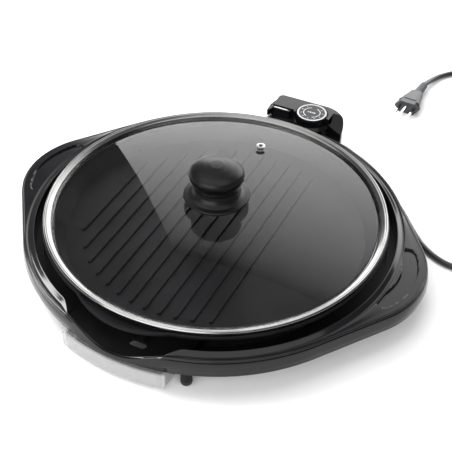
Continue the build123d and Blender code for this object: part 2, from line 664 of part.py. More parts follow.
# Upper shell with the dial's pocket, a window for the pilot light and a fin at the left end.
with BuildPart() as control_upper_shell:
    with BuildSketch(level(CONTROL_SPLIT)) as housing:
        control_outline(housing)
    extrude(amount=CONTROL_TOP - CONTROL_SPLIT)
    back_edges = control_upper_shell.faces().sort_by(Axis.Z)[-1].edges().group_by(Axis.Y)[-1]
    fillet(back_edges, radius=1.8)
    # flared apron under the dial
    with BuildSketch(level(RING_TOP + 0.5)):
        with Locations((DIAL_X, DIAL_Y)):
            Circle(25)
    extrude(amount=1.2)
    with BuildSketch(level(RING_TOP + 1.7)):
        with Locations((DIAL_X, DIAL_Y)):
            Circle(25)
    with BuildSketch(level(DIAL_FLOOR + 3)):
        with Locations((DIAL_X, DIAL_Y)):
            Circle(DIAL_RADIUS + 2.2)
    loft(ruled=True)
    # the housing is hollow, with a solid table under the dial
    with BuildSketch(level(CONTROL_SPLIT)) as hollow:
        control_outline(hollow, WALL)
        with Locations((DIAL_X, DIAL_Y)):
            Circle(DIAL_RADIUS + 3.2, mode=Mode.SUBTRACT)
    extrude(amount=CONTROL_TOP - CONTROL_SPLIT - WALL, mode=Mode.SUBTRACT)
    with BuildSketch(level(CONTROL_SPLIT)) as hollow:
        control_outline(hollow, WALL)
    extrude(amount=RING_TOP - 1.5 - CONTROL_SPLIT, mode=Mode.SUBTRACT)
    with BuildSketch(level(CONTROL_SPLIT)):
        with Locations(*SCREW_PLACES):
            Circle(3.4)
    extrude(amount=CONTROL_TOP - CONTROL_SPLIT - 1)
    with BuildSketch(level(CONTROL_SPLIT)):
        with Locations(*SCREW_PLACES):
            Circle(1.5)
    extrude(amount=8, mode=Mode.SUBTRACT)
    # sloping front of the right lobe, with a thicker wall behind it
    with BuildSketch(level(RING_TOP - 1.5)) as lobe:
        control_outline(lobe, 0.5)
        with Locations((56.5, 221)):
            Rectangle(16, 26, mode=Mode.INTERSECT)
    extrude(amount=CONTROL_TOP - WALL - RING_TOP + 1.5)
    with BuildSketch(Plane((46.5, PLATE_Y, 0), x_dir=(0, 1, 0), z_dir=(1, 0, 0))):
        Polygon((198, 46), (198, 61), (229, 61), (229, CONTROL_TOP), (206.5, 47), align=None)
    extrude(amount=25, mode=Mode.SUBTRACT)
    with BuildSketch(level(DIAL_FLOOR - 0.4)):
        with Locations((DIAL_X, DIAL_Y)):
            Circle(DIAL_RADIUS + 0.7)
    extrude(amount=20, mode=Mode.SUBTRACT)
    with BuildSketch(level(CONTROL_SPLIT)):
        with Locations((DIAL_X, DIAL_Y)):
            Circle(SHAFT_RADIUS + RUNNING_GAP)
    extrude(amount=12, mode=Mode.SUBTRACT)
    # low step along the front with a block for the light bar, and a scalloped notch beside it
    with BuildSketch(level(RING_TOP + 0.5)):
        with Locations((-15.5, 211.5)):
            Rectangle(25, 4)
    extrude(amount=BAR_TOP - RING_TOP - 0.5)
    with BuildSketch(level(BAR_TOP - 2)):
        with Locations((-14, 214)):
            Rectangle(22, 5)
    extrude(amount=2)
    with BuildSketch(level(RING_TOP - 1.5)) as backing:
        control_outline(backing)
        with Locations((1.5, 213)):
            Circle(8, mode=Mode.INTERSECT)
        with Locations((DIAL_X, DIAL_Y)):
            Circle(DIAL_RADIUS + 0.7, mode=Mode.SUBTRACT)
    extrude(amount=CONTROL_TOP - RING_TOP + 1.5)
    with BuildSketch(level(BAR_TOP)):
        with Locations((-15, 209.5)):
            Rectangle(29, 10)
    extrude(amount=4, mode=Mode.SUBTRACT)
    with BuildSketch(level(RING_TOP + 0.5)):
        with Locations((1, 209.5)):
            Circle(5.5)
        with Locations((DIAL_X, DIAL_Y)):
            Circle(DIAL_RADIUS + 3, mode=Mode.SUBTRACT)
    extrude(amount=20, mode=Mode.SUBTRACT)
    # window for the pilot light, and the fin
    with BuildSketch(level(BAR_TOP - 3.4)):
        with Locations((BAR_X, BAR_Y)):
            SlotOverall(18, 1.8)
    extrude(amount=6, mode=Mode.SUBTRACT)
    with BuildSketch(level(CONTROL_TOP - 9)):
        Polygon((-27.8, 230), (-31, 214), (-30, 198.5), (-26.5, 206), (-25.6, 213), align=None)
    extrude(amount=8)
    fillet(control_upper_shell.edges().filter_by(Axis.Z).sort_by(Axis.Y)[0], radius=0.7)
control_upper_shell.part.label = "control_upper_shell"
export_step(control_upper_shell.part, "parts/control_upper_shell.step")

# Lower shell: the nose that plugs into the plate, a bridge that closes the rim's notch, and a
# boss at the back for the cord.
CAVITY_BACK = 222.0
RELIEF_PLANE = Plane(origin=RELIEF_START, z_dir=RELIEF_TIP - RELIEF_START)
with BuildPart() as control_lower_shell:
    with BuildSketch(level(CONTROL_FOOT)) as housing:
        control_outline(housing)
    extrude(amount=CONTROL_SPLIT - CONTROL_FOOT)
    with BuildSketch(level(NOSE_LOW)):
        with Locations((0, (NOSE_TIP + CAVITY_BACK + 2) / 2)):
            Rectangle(2 * NOSE_HALF, CAVITY_BACK + 2 - NOSE_TIP)
    extrude(amount=NOSE_HIGH - NOSE_LOW)
    with BuildSketch(level(NOSE_HIGH)):
        with Locations((0, 205)):
            Rectangle(2 * NOSE_HALF + 7, 16)
        Circle(RING_INNER + 0.6, mode=Mode.SUBTRACT)
    extrude(amount=RING_TOP - 0.2 - NOSE_HIGH)
    # hollow the housing and the nose, with a way for the wires between them
    with BuildSketch(level(CONTROL_FOOT + WALL)) as hollow:
        control_outline(hollow, WALL)
    extrude(amount=CONTROL_SPLIT, mode=Mode.SUBTRACT)
    with BuildSketch(level(CONTROL_SPLIT)) as hollow:
        control_outline(hollow, -0.1)
    extrude(amount=CONTROL_SPLIT, mode=Mode.SUBTRACT)
    with BuildSketch(level(NOSE_LOW + 1.3)):
        with Locations((0, (185 + CAVITY_BACK) / 2)):
            Rectangle(2 * NOSE_HALF - 5, CAVITY_BACK - 185)
    extrude(amount=NOSE_HIGH - NOSE_LOW - 2.6, mode=Mode.SUBTRACT)
    with BuildSketch(level(CONTROL_FOOT - 2)):
        with Locations((0, CAVITY_BACK - 4)):
            Rectangle(2 * NOSE_HALF - 5, 8)
    extrude(amount=8, mode=Mode.SUBTRACT)
    # posts for the screws from below
    with BuildSketch(level(CONTROL_FOOT + WALL)):
        with Locations(*SCREW_PLACES):
            Circle(3.4)
    extrude(amount=CONTROL_SPLIT - CONTROL_FOOT - WALL)
    with BuildSketch(level(CONTROL_FOOT)):
        with Locations(*SCREW_PLACES):
            Circle(1.6)
    extrude(amount=20, mode=Mode.SUBTRACT)
    # bores for the sockets' pins and for the probe
    with BuildSketch(facing_back(NOSE_TIP - 1)):
        with Locations((-PIN_X, HEAT_Z), (PIN_X, HEAT_Z)):
            Circle(PIN_RADIUS + 0.5)
        with Locations((0, HEAT_Z)):
            Circle(PROBE_RADIUS)
    extrude(amount=-12, mode=Mode.SUBTRACT)
    # the cord's boss
    with BuildSketch(level(CONTROL_FOOT + 2)):
        with Locations((BOSS_X, 246)):
            RectangleRounded(18, 18, 3)
        with Locations((BOSS_X, 225)):
            Rectangle(40, 27.2, mode=Mode.SUBTRACT)
    extrude(amount=CONTROL_SPLIT - CONTROL_FOOT - 2)
    with BuildSketch(level(CONTROL_SPLIT)):
        with Locations((BOSS_X, 246)):
            RectangleRounded(18, 18, 3)
        with Locations((BOSS_X, 225)):
            Rectangle(40, 31.4, mode=Mode.SUBTRACT)
    extrude(amount=3.4)
    with BuildSketch(level(CONTROL_FOOT + 4)):
        with Locations((BOSS_X, 243)):
            Rectangle(12, 17)
    extrude(amount=11.5, mode=Mode.SUBTRACT)
    with BuildSketch(RELIEF_PLANE.offset(6)):
        Circle(RELIEF_COLLAR)
    extrude(amount=-14, mode=Mode.SUBTRACT)
    with BuildSketch(RELIEF_PLANE.offset(4.6)):
        Circle(7)
    extrude(amount=8, mode=Mode.SUBTRACT)
control_lower_shell.part.label = "control_lower_shell"
export_step(control_lower_shell.part, "parts/control_lower_shell.step")

# Three screws that hold the two shells together from below.
with BuildPart() as control_screws:
    with BuildSketch(level(CONTROL_FOOT)):
        with Locations(*SCREW_PLACES):
            Circle(2.9)
    extrude(amount=-1.5)
    with BuildSketch(level(CONTROL_FOOT)):
        with Locations(*SCREW_PLACES):
            Circle(1.5)
    extrude(amount=19)
control_screws.part.label = "control_screws"
export_step(control_screws.part, "parts/control_screws.step")

# Turned brass sockets that grip the heater's pins.
with BuildPart() as terminal_sockets:
    with BuildSketch(facing_back(185.3)):
        with Locations((-PIN_X, HEAT_Z), (PIN_X, HEAT_Z)):
            Circle(3.8)
    extrude(amount=-21)
    with BuildSketch(facing_back(185.3)):
        with Locations((-PIN_X, HEAT_Z), (PIN_X, HEAT_Z)):
            Circle(PIN_RADIUS + RUNNING_GAP)
    extrude(amount=-18, mode=Mode.SUBTRACT)
terminal_sockets.part.label = "terminal_sockets"
export_step(terminal_sockets.part, "parts/terminal_sockets.step")

# Probe that reaches into the plate's well, with a collar inside the nose.
with BuildPart() as thermostat_probe:
    with BuildSketch(facing_back(138)):
        with Locations((0, HEAT_Z)):
            Circle(PROBE_RADIUS)
    extrude(amount=-72)
    fillet(thermostat_probe.faces().sort_by(Axis.Y)[0].edges(), radius=1.5)
    with BuildSketch(facing_back(190)):
        with Locations((0, HEAT_Z)):
            Circle(3.7)
    extrude(amount=-3)
thermostat_probe.part.label = "thermostat_probe"
export_step(thermostat_probe.part, "parts/thermostat_probe.step")

# Thermostat: a folded steel frame, a ceramic stack and two contact blades.
with BuildPart() as thermostat_frame:
    with BuildSketch(facing_back(215)):
        with Locations((23, 33.1)):
            Rectangle(26, 12.4)
        with Locations((23.6, 33.1)):
            Rectangle(26, 10, mode=Mode.SUBTRACT)
    extrude(amount=-19)
    with BuildSketch(level(36)):
        with Locations((DIAL_X, DIAL_Y)):
            Circle(SHAFT_RADIUS + 0.3)
    extrude(amount=5, mode=Mode.SUBTRACT)
    with BuildSketch(level(28.3)):
        with Locations((10.5, 226)):
            Rectangle(4, 7)
    extrude(amount=8.5, mode=Mode.SUBTRACT)
thermostat_frame.part.label = "thermostat_frame"
export_step(thermostat_frame.part, "parts/thermostat_frame.step")

with BuildPart() as contact_blades:
    for blade_z in (30.4, 33.4):
        with BuildSketch(level(blade_z)):
            with Locations((22.5, 226)):
                RectangleRounded(22, 5, 2)
        extrude(amount=0.5)
    with BuildSketch(level(30.9)):
        with Locations((30.5, 226)):
            Circle(1.6)
    extrude(amount=1)
contact_blades.part.label = "contact_blades"
export_step(contact_blades.part, "parts/contact_blades.step")

with BuildPart() as contact_stack:
    for low, high in ((28.1, 30.4), (30.9, 33.4), (33.9, 38.1)):
        with BuildSketch(level(low)):
            with Locations((15, 226)):
                Rectangle(6, 7)
        extrude(amount=high - low)
contact_stack.part.label = "contact_stack"
export_step(contact_stack.part, "parts/contact_stack.step")

# Dial with a grooved side, a light ring let into its top and a shaft down to the thermostat.
RING_SEAT = 0.8
with BuildPart() as temperature_dial:
    with BuildSketch(level(DIAL_FLOOR + 0.2)):
        with Locations((DIAL_X, DIAL_Y)):
            Circle(DIAL_RADIUS)
    extrude(amount=DIAL_TOP - DIAL_FLOOR - 0.2)
    chamfer(temperature_dial.faces().sort_by(Axis.Z)[-1].edges(), length=0.8)
    with BuildSketch(level(DIAL_FLOOR + 3)):
        with Locations((DIAL_X, DIAL_Y)):
            with PolarLocations(DIAL_RADIUS, 36):
                Circle(0.6)
    extrude(amount=DIAL_TOP, mode=Mode.SUBTRACT)
    with BuildSketch(level(DIAL_TOP - RING_SEAT)):
        with Locations((DIAL_X, DIAL_Y)):
            Circle(DIAL_RADIUS - 1.4)
            Circle(DIAL_RADIUS - 3.4, mode=Mode.SUBTRACT)
    extrude(amount=2, mode=Mode.SUBTRACT)
    with BuildSketch(level(DIAL_FLOOR)):
        with Locations((DIAL_X, DIAL_Y)):
            Circle(SHAFT_RADIUS)
    extrude(amount=7, mode=Mode.SUBTRACT)
temperature_dial.part.label = "temperature_dial"
export_step(temperature_dial.part, "parts/temperature_dial.step")

with BuildPart() as dial_ring:
    with BuildSketch(level(DIAL_TOP - RING_SEAT)):
        with Locations((DIAL_X, DIAL_Y)):
            Circle(DIAL_RADIUS - 1.4)
            Circle(DIAL_RADIUS - 3.4, mode=Mode.SUBTRACT)
    extrude(amount=RING_SEAT + 0.2)
dial_ring.part.label = "dial_ring"
export_step(dial_ring.part, "parts/dial_ring.step")

with BuildPart() as dial_shaft:
    with BuildSketch(level(35)):
        with Locations((DIAL_X, DIAL_Y)):
            Circle(SHAFT_RADIUS)
    extrude(amount=DIAL_FLOOR + 7 - 35)
dial_shaft.part.label = "dial_shaft"
export_step(dial_shaft.part, "parts/dial_shaft.step")

# Pilot light: a light bar in the housing's front edge and a neon lamp behind it.
with BuildPart() as pilot_lens:
    with BuildSketch(level(BAR_TOP - 3.4)):
        with Locations((BAR_X, BAR_Y)):
            SlotOverall(17.8, 1.6)
    extrude(amount=3.7)
pilot_lens.part.label = "pilot_lens"
export_step(pilot_lens.part, "parts/pilot_lens.step")

with BuildPart() as pilot_lamp:
    with BuildSketch(Plane((-23, PLATE_Y + 217.5, 50), z_dir=(1, 0, 0))):
        Circle(2.4)
    extrude(amount=15)
    fillet(pilot_lamp.edges().filter_by(GeomType.CIRCLE), radius=1.2)
pilot_lamp.part.label = "pilot_lamp"
export_step(pilot_lamp.part, "parts/pilot_lamp.step")

# Insulated wires: supply to the left socket, supply to the blades, blades to the right socket.
LEADS = [
    [(-16, 238, 35), (-16, 228, 33), (-19, 219, 29), (-19, 218, 22.4), (-19, 206.4, 22.4)],
    [(-11, 238, 35), (-9, 229, 35), (3, 226, 34), (11.4, 226, 34.8)],
    [(11.4, 226, 29.2), (6, 224, 29.2), (6, 218.5, 26), (12, 215, 22.4), (19, 212, 22.4), (19, 206.4, 22.4)],
]
with BuildPart() as internal_leads:
    for lead in LEADS:
        with BuildLine(level(0)) as wire:
            FilletPolyline(*lead, radius=1.4)
        with BuildSketch(Plane(origin=wire.line @ 0, z_dir=wire.line % 0)):
            Circle(1)
        sweep(path=wire.line)
internal_leads.part.label = "internal_leads"
export_step(internal_leads.part, "parts/internal_leads.step")

# ================================================================ drip tray
with BuildPart() as drip_tray:
    with BuildSketch(level(TRAY_Z)) as footprint:
        Circle(TRAY_RADIUS)
        with Locations(TRAY_TURN * Pos(0, TRAY_BACK - 60)):
            Rectangle(2 * TRAY_HALF, 120, mode=Mode.INTERSECT)
        fillet(footprint.vertices(), radius=9)
    extrude(amount=TRAY_TOP - TRAY_Z)
    chamfer(drip_tray.faces().sort_by(Axis.Z)[0].edges(), length=1)
    # front panel, a little wider and higher than the box behind it
    with BuildSketch(level(TRAY_Z + 1)):
        Circle(TRAY_RADIUS)
        Circle(TRAY_RADIUS - TRAY_WALL, mode=Mode.SUBTRACT)
        with Locations(TRAY_TURN * Pos(0, -TRAY_RADIUS)):
            Rectangle(2 * TRAY_HALF + 3, 60, mode=Mode.INTERSECT)
    extrude(amount=FLANGE_Z - 2 - TRAY_Z)
    # side lips that hang on the base's rails
    with BuildSketch(level(TRAY_TOP - 2)):
        with Locations(TRAY_TURN * Pos(0, -153)):
            Rectangle(2 * TRAY_HALF + 8.4, 46)
    extrude(amount=2)
    with BuildSketch(level(TRAY_Z + TRAY_WALL)) as footprint:
        Circle(TRAY_RADIUS)
        with Locations(TRAY_TURN * Pos(0, TRAY_BACK - 60)):
            Rectangle(2 * TRAY_HALF, 120, mode=Mode.INTERSECT)
        fillet(footprint.vertices(), radius=9)
        offset(amount=-TRAY_WALL, mode=Mode.REPLACE)
    extrude(amount=TRAY_TOP, mode=Mode.SUBTRACT)
drip_tray.part.label = "drip_tray"
export_step(drip_tray.part, "parts/drip_tray.step")

# ================================================================ cord and plug
def bend_radii(points):
    """A radius for every corner: 0.45 of its shorter run, over the tangent of half its turn."""
    radii = []
    for before, corner, after in zip(points, points[1:], points[2:]):
        arriving, leaving = corner - before, after - corner
        half_turn = radians(arriving.get_angle(leaving)) / 2
        radii.append(0.45 * min(arriving.length, leaving.length) / tan(half_turn))
    return radii


def from_axis(x, y, z):
    """A point measured from the plate's axis, in the part's frame."""
    return Vector(x, PLATE_Y + y, z)


heading = Vector(cos(radians(PLUG_HEADING)), sin(radians(PLUG_HEADING)), 0)
PLUG_END = PLUG_FRONT + heading * (PLUG_BODY + PLUG_RELIEF)

# Strain relief: a ribbed sleeve that leans out of the boss, with a collar inside it.
with BuildPart() as strain_relief:
    with BuildSketch(RELIEF_PLANE.offset(5)):
        Circle(RELIEF_COLLAR)
    extrude(amount=-12)
    for ring in range(5):
        with BuildSketch(RELIEF_PLANE.offset(5 * ring + 5)):
            Circle(6.2 - 0.3 * ring)
        extrude(amount=3.4)
    with BuildSketch(RELIEF_PLANE.offset(5)):
        Circle(5)
    with BuildSketch(RELIEF_PLANE.offset(30)):
        Circle(4)
    loft(ruled=True)
strain_relief.part.label = "strain_relief"
export_step(strain_relief.part, "parts/strain_relief.step")

# Lead: from the strain relief down to the floor, round behind the base and into the coil.
COIL_CENTRE = Vector(COIL_X, COIL_Y, 0)
LEAD_ROUTE = [
    RELIEF_TIP,
    from_axis(30, 247, 8.5),
    from_axis(44, 245.5, REST_Z),
    from_axis(70, 238, REST_Z),
    from_axis(102, 213, REST_Z),
    from_axis(133, 187, REST_Z),
    from_axis(163, 157, REST_Z),
    from_axis(188, 124, REST_Z),
    from_axis(212, 98, REST_Z),
    from_axis(243, 84, REST_Z),
    from_axis(272, 90.5, REST_Z),
    from_axis(291, 113.5, REST_Z),
    from_axis(292.5, 146, REST_Z),
    from_axis(288, 186, REST_Z),
    from_axis(279, 225, REST_Z),
    from_axis(276.5, 262, REST_Z),
    COIL_CENTRE + Vector(COIL_RADIUS, 0, REST_Z),
]
coil_end_angle = radians(360 * COIL_TURNS)
COIL_EXIT = COIL_CENTRE + Vector(
    COIL_RADIUS * cos(coil_end_angle),
    COIL_RADIUS * sin(coil_end_angle),
    REST_Z + COIL_RISE * COIL_TURNS,
)
TAIL_ROUTE = [
    COIL_EXIT,
    from_axis(268, 338, 10),
    from_axis(260, 364, 4.5),
    from_axis(250, 398, REST_Z),
    from_axis(239, 432, REST_Z),
    from_axis(225, 464, REST_Z),
    from_axis(202, 487, REST_Z),
    from_axis(172, 496, REST_Z),
    from_axis(143, 489, REST_Z),
    from_axis(122, 467, REST_Z),
    from_axis(112.5, 441, 6),
    PLUG_END,
]


def cord_tube(route):
    """Sweep the cord along straight runs joined by arcs."""
    radii = bend_radii(route)
    print("bend radii", [round(radius) for radius in radii])
    with BuildPart(mode=Mode.PRIVATE) as tube:
        with BuildLine(Plane.XY) as path:
            FilletPolyline(*route, radius=radii)
        with BuildSketch(Plane(origin=path.line @ 0, z_dir=path.line % 0)):
            Circle(CORD / 2)
        sweep(path=path.line)
    length = sum(edge.length for edge in path.edges())
    print("length", round(length), "section", round(tube.part.volume / length, 2))
    return tube.part


cord_lead = cord_tube(LEAD_ROUTE)
cord_lead.label = "cord_lead"
export_step(cord_lead, "parts/cord_lead.step")

cord_tail = cord_tube(TAIL_ROUTE)
cord_tail.label = "cord_tail"
export_step(cord_tail, "parts/cord_tail.step")

# The coiled middle stretch, as one closed ring standing just clear of the floor.
COIL_TOP = REST_Z + COIL_RISE * COIL_TURNS + CORD / 2
COIL_FOOT = 1.5
with BuildPart() as cord_coil:
    with BuildSketch(Plane(COIL_CENTRE + Vector(0, 0, COIL_FOOT))):
        Circle(COIL_RADIUS + CORD / 2 + 0.3)
        Circle(COIL_RADIUS - CORD / 2 - 0.3, mode=Mode.SUBTRACT)
    extrude(amount=COIL_TOP - COIL_FOOT)
    add(cord_lead, mode=Mode.SUBTRACT)
    add(cord_tail, mode=Mode.SUBTRACT)
cord_coil.part.label = "cord_coil"
export_step(cord_coil.part, "parts/cord_coil.step")

# Band round the left side of the coil.
TIE_SHEET = 1.2
TIE_PLANE = Plane(COIL_CENTRE + Vector(-COIL_RADIUS, 4, 0), x_dir=(1, 0, 0), z_dir=(0, -1, 0))
with BuildPart() as cord_tie:
    with BuildSketch(TIE_PLANE):
        with Locations((0, (COIL_FOOT + COIL_TOP) / 2)):
            RectangleRounded(CORD + 1.2 + 2 * TIE_SHEET, COIL_TOP - COIL_FOOT + 2 * TIE_SHEET, 2)
            Rectangle(CORD + 1.2, COIL_TOP - COIL_FOOT, mode=Mode.SUBTRACT)
    extrude(amount=8)
cord_tie.part.label = "cord_tie"
export_step(cord_tie.part, "parts/cord_tie.step")

# Plug: a six-sided front flange, a tapering body with a raised panel, and a ribbed relief.
def across_plug(distance):
    """The plane across the plug at `distance` behind its front face, looking along the cord."""
    return Plane(PLUG_FRONT + heading * distance, x_dir=heading.rotate(Axis.Z, 90), z_dir=heading)


with BuildPart() as plug_body:
    with BuildSketch(across_plug(0)):
        Polygon((-17, 0), (-10, 8.4), (10, 8.4), (17, 0), (10, -8.4), (-10, -8.4), align=None)
    extrude(amount=8)
    with BuildSketch(across_plug(7.9)):
        RectangleRounded(29, 15.6, 4)
    with BuildSketch(across_plug(PLUG_BODY)):
        RectangleRounded(17, 13, 4)
    loft(ruled=True)
    with BuildSketch(across_plug(11)):
        with Locations((0, 7)):
            RectangleRounded(18, 2.6, 1)
    with BuildSketch(across_plug(PLUG_BODY - 4)):
        with Locations((0, 6)):
            RectangleRounded(11, 2.2, 1)
    loft(ruled=True)
    with BuildSketch(across_plug(-0.1)):
        with Locations((-PIN_SPACING, 0), (PIN_SPACING, 0), (0, EARTH_STEP)):
            Circle(PIN_ROOT)
    extrude(amount=8.1, mode=Mode.SUBTRACT)
plug_body.part.label = "plug_body"
export_step(plug_body.part, "parts/plug_body.step")

with BuildPart() as plug_relief:
    for ring in range(6):
        with BuildSketch(across_plug(PLUG_BODY + 0.8 + 4.6 * ring)):
            Circle(6.3 - 0.25 * ring)
        extrude(amount=3)
    with BuildSketch(across_plug(PLUG_BODY)):
        Circle(5.2)
    with BuildSketch(across_plug(PLUG_BODY + PLUG_RELIEF)):
        Circle(4.1)
    loft(ruled=True)
plug_relief.part.label = "plug_relief"
export_step(plug_relief.part, "parts/plug_relief.step")

# Pins with a thinner root inside the body; the outer two are sleeved, with bare tips.
with BuildPart() as plug_pins:
    with BuildSketch(across_plug(8)):
        with Locations((-PIN_SPACING, 0), (PIN_SPACING, 0), (0, EARTH_STEP)):
            Circle(PIN_ROOT)
    extrude(amount=-8 - PIN_LENGTH + PIN_TIP)
    with BuildSketch(across_plug(PIN_TIP - PIN_LENGTH)):
        with Locations((-PIN_SPACING, 0), (PIN_SPACING, 0)):
            Circle(2)
    extrude(amount=-PIN_TIP)
    with BuildSketch(across_plug(0)):
        with Locations((0, EARTH_STEP)):
            Circle(2)
    extrude(amount=-PIN_LENGTH)
plug_pins.part.label = "plug_pins"
export_step(plug_pins.part, "parts/plug_pins.step")

with BuildPart() as plug_pin_sleeves:
    with BuildSketch(across_plug(0)):
        with Locations((-PIN_SPACING, 0), (PIN_SPACING, 0)):
            Circle(2)
            Circle(PIN_ROOT, mode=Mode.SUBTRACT)
    extrude(amount=PIN_TIP - PIN_LENGTH)
plug_pin_sleeves.part.label = "plug_pin_sleeves"
export_step(plug_pin_sleeves.part, "parts/plug_pin_sleeves.step")
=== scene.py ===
from math import asin, atan2, cos, hypot, pi, radians, sin, sqrt

import bpy
from mathutils import Matrix, Vector


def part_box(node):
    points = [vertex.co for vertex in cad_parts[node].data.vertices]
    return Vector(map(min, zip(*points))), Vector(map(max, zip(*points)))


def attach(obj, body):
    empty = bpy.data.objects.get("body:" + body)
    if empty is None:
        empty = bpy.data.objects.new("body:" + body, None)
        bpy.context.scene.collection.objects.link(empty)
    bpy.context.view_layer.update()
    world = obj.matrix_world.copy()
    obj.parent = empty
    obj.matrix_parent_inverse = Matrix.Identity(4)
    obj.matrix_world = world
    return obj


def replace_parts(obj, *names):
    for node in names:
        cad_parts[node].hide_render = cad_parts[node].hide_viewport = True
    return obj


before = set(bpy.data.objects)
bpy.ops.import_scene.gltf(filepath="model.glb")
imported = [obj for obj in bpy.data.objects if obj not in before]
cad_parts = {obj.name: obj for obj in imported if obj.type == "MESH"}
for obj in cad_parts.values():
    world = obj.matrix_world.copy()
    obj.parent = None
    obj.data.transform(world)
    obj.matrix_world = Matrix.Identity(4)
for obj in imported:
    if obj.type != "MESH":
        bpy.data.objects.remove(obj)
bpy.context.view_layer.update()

# Sizes in metres, worked out from the frame. The plate's axis is the centre of the lid's rim.
MM = 0.001
LID_LOW, LID_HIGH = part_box("lid_rim")
AXIS = Vector(((LID_LOW[0] + LID_HIGH[0]) / 2, (LID_LOW[1] + LID_HIGH[1]) / 2, 0))
DIAL_LOW, DIAL_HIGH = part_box("temperature_dial")
DIAL_CENTRE = Vector(((DIAL_LOW[0] + DIAL_HIGH[0]) / 2, (DIAL_LOW[1] + DIAL_HIGH[1]) / 2, 0))


# ---------------------------------------------------------------- materials
def new_material(name):
    """A material with only its output and an empty node tree."""
    made = bpy.data.materials.new(name)
    made.use_nodes = True
    tree = made.node_tree
    tree.nodes.clear()
    output = tree.nodes.new("ShaderNodeOutputMaterial")
    return made, tree, output


def add_noise(tree, scale, detail=3.0, stretch=(1, 1, 1)):
    """Noise in object coordinates, in metres, so that it rides with its piece."""
    place = tree.nodes.new("ShaderNodeTexCoord")
    mapping = tree.nodes.new("ShaderNodeMapping")
    mapping.inputs["Scale"].default_value = stretch
    noise = tree.nodes.new("ShaderNodeTexNoise")
    noise.inputs["Scale"].default_value = scale
    noise.inputs["Detail"].default_value = detail
    tree.links.new(place.outputs["Object"], mapping.inputs["Vector"])
    tree.links.new(mapping.outputs["Vector"], noise.inputs["Vector"])
    return noise


def spread(tree, source, low, high):
    """Map a noise's 0.3 to 0.7 onto low to high."""
    span = tree.nodes.new("ShaderNodeMapRange")
    span.inputs["From Min"].default_value = 0.3
    span.inputs["From Max"].default_value = 0.7
    span.inputs["To Min"].default_value = low
    span.inputs["To Max"].default_value = high
    tree.links.new(source, span.inputs["Value"])
    return span.outputs["Result"]


def surface(
    name,
    dark,
    light,
    rough=(0.3, 0.4),
    metallic=0.0,
    grain=900.0,
    bump=0.05,
    stretch=(1, 1, 1),
    cloud=25.0,
    coat=0.0,
    specular=0.5,
):
    """A moulded, cast or metal surface: drifting colour, uneven gloss and a fine grain."""
    made, tree, output = new_material(name)
    shader = tree.nodes.new("ShaderNodeBsdfPrincipled")
    shader.inputs["Metallic"].default_value = metallic
    shader.inputs["Coat Weight"].default_value = coat
    shader.inputs["Specular IOR Level"].default_value = specular
    clouds = add_noise(tree, cloud)
    blend = tree.nodes.new("ShaderNodeMix")
    blend.data_type = "RGBA"
    blend.inputs["A"].default_value = (*dark, 1)
    blend.inputs["B"].default_value = (*light, 1)
    tree.links.new(spread(tree, clouds.outputs["Fac"], 0, 1), blend.inputs["Factor"])
    tree.links.new(blend.outputs["Result"], shader.inputs["Base Color"])
    fine = add_noise(tree, grain, 4.0, stretch)
    tree.links.new(spread(tree, fine.outputs["Fac"], *rough), shader.inputs["Roughness"])
    relief = tree.nodes.new("ShaderNodeBump")
    relief.inputs["Strength"].default_value = bump
    relief.inputs["Distance"].default_value = 0.2 * MM
    tree.links.new(fine.outputs["Fac"], relief.inputs["Height"])
    tree.links.new(relief.outputs["Normal"], shader.inputs["Normal"])
    tree.links.new(shader.outputs["BSDF"], output.inputs["Surface"])
    return made


def clear_sheet(name, tint, rough, body=0.0, body_colour=(0.8, 0.82, 0.83), index=1.5, edge=1.0):
    """Thin glass or clear plastic: it reflects by its angle and lets the rest through."""
    made, tree, output = new_material(name)
    through = tree.nodes.new("ShaderNodeBsdfTransparent")
    smears = add_noise(tree, 6.0)
    veil = tree.nodes.new("ShaderNodeMix")
    veil.data_type = "RGBA"
    veil.inputs["A"].default_value = (*tint, 1)
    veil.inputs["B"].default_value = (*[channel * 0.97 for channel in tint], 1)
    tree.links.new(smears.outputs["Fac"], veil.inputs["Factor"])
    slant = tree.nodes.new("ShaderNodeLayerWeight")
    slant.inputs["Blend"].default_value = 0.25
    deep = tree.nodes.new("ShaderNodeMix")
    deep.data_type = "RGBA"
    deep.inputs["B"].default_value = (*[channel * edge for channel in tint], 1)
    tree.links.new(slant.outputs["Facing"], deep.inputs["Factor"])
    tree.links.new(veil.outputs["Result"], deep.inputs["A"])
    tree.links.new(deep.outputs["Result"], through.inputs["Color"])
    gloss = tree.nodes.new("ShaderNodeBsdfGlossy")
    tree.links.new(spread(tree, smears.outputs["Fac"], *rough), gloss.inputs["Roughness"])
    haze = tree.nodes.new("ShaderNodeBsdfDiffuse")
    haze.inputs["Color"].default_value = (*body_colour, 1)
    cloudy = tree.nodes.new("ShaderNodeMixShader")
    cloudy.inputs["Fac"].default_value = body
    tree.links.new(through.outputs["BSDF"], cloudy.inputs[1])
    tree.links.new(haze.outputs["BSDF"], cloudy.inputs[2])
    facing = tree.nodes.new("ShaderNodeFresnel")
    facing.inputs["IOR"].default_value = index
    geometry = tree.nodes.new("ShaderNodeNewGeometry")
    outside = tree.nodes.new("ShaderNodeMath")
    outside.operation = "SUBTRACT"
    outside.inputs[0].default_value = 1
    tree.links.new(geometry.outputs["Backfacing"], outside.inputs[1])
    share = tree.nodes.new("ShaderNodeMath")
    share.operation = "MULTIPLY"
    tree.links.new(facing.outputs["Fac"], share.inputs[0])
    tree.links.new(outside.outputs["Value"], share.inputs[1])
    mixed = tree.nodes.new("ShaderNodeMixShader")
    tree.links.new(share.outputs["Value"], mixed.inputs["Fac"])
    tree.links.new(cloudy.outputs["Shader"], mixed.inputs[1])
    tree.links.new(gloss.outputs["BSDF"], mixed.inputs[2])
    tree.links.new(mixed.outputs["Shader"], output.inputs["Surface"])
    return made


